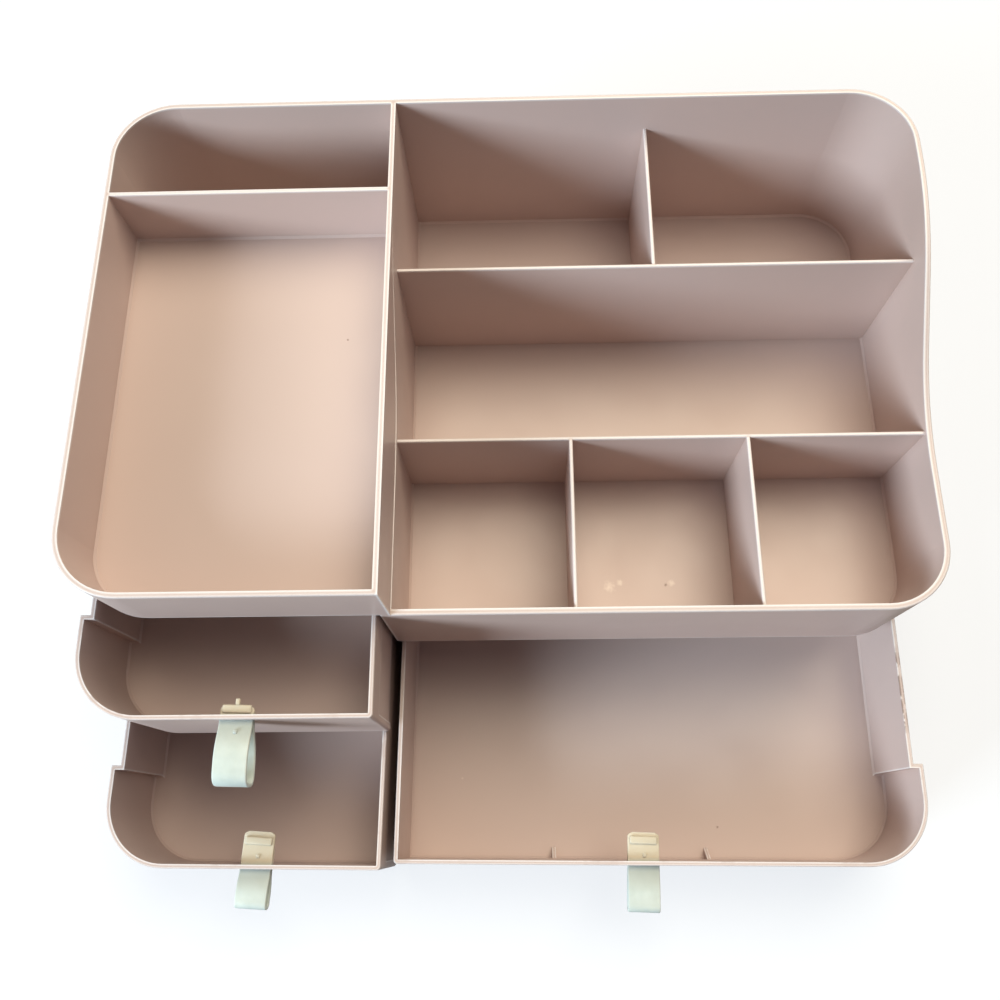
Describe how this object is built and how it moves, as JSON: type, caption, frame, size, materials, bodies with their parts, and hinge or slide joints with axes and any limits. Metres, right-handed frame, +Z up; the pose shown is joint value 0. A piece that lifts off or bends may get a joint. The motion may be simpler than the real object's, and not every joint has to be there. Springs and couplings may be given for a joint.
{
  "type": "storage box",
  "caption": "Desktop vanity organiser with open trays and wells on top and pull-out drawers with loop straps below.",
  "frame": {"origin": "on the table, under the middle of the whole object with its drawers pulled out as in the picture", "axes": "+X to the right as seen from the front, +Y to the back, +Z up; the drawers open towards -Y"},
  "size_m": [0.323, 0.3118, 0.13],
  "materials": {
    "case_plastic": "satin moulded, dusty pink",
    "strap_silicone": "soft matt silicone, off-white",
    "foot_rubber": "matt"
  },
  "bodies": {
    "housing": {"housing_shell": "case_plastic", "base_plate": "case_plastic", "centre_partition": "case_plastic", "drawer_shelf": "case_plastic", "foot_front_left": "foot_rubber", "foot_front_right": "foot_rubber", "foot_rear_left": "foot_rubber", "foot_rear_right": "foot_rubber"},
    "upper_left_drawer": {"drawer_upper_left": "case_plastic", "pull_upper_left": "strap_silicone"},
    "lower_left_drawer": {"drawer_lower_left": "case_plastic", "pull_lower_left": "strap_silicone"},
    "right_drawer": {"drawer_right": "case_plastic", "pull_right": "strap_silicone"}
  },
  "joints": [
    {"name": "upper_left_slide", "type": "slide", "parent": "housing", "child": "upper_left_drawer", "axis": [0, -1, 0], "range_m": [-0.0365, 0.0835]},
    {"name": "lower_left_slide", "type": "slide", "parent": "housing", "child": "lower_left_drawer", "axis": [-0.0148, -0.9999, 0], "range_m": [-0.0867, 0.0323]},
    {"name": "right_slide", "type": "slide", "parent": "housing", "child": "right_drawer", "axis": [-0.0122, -0.9999, 0], "range_m": [-0.086, 0.064]}
  ]
}
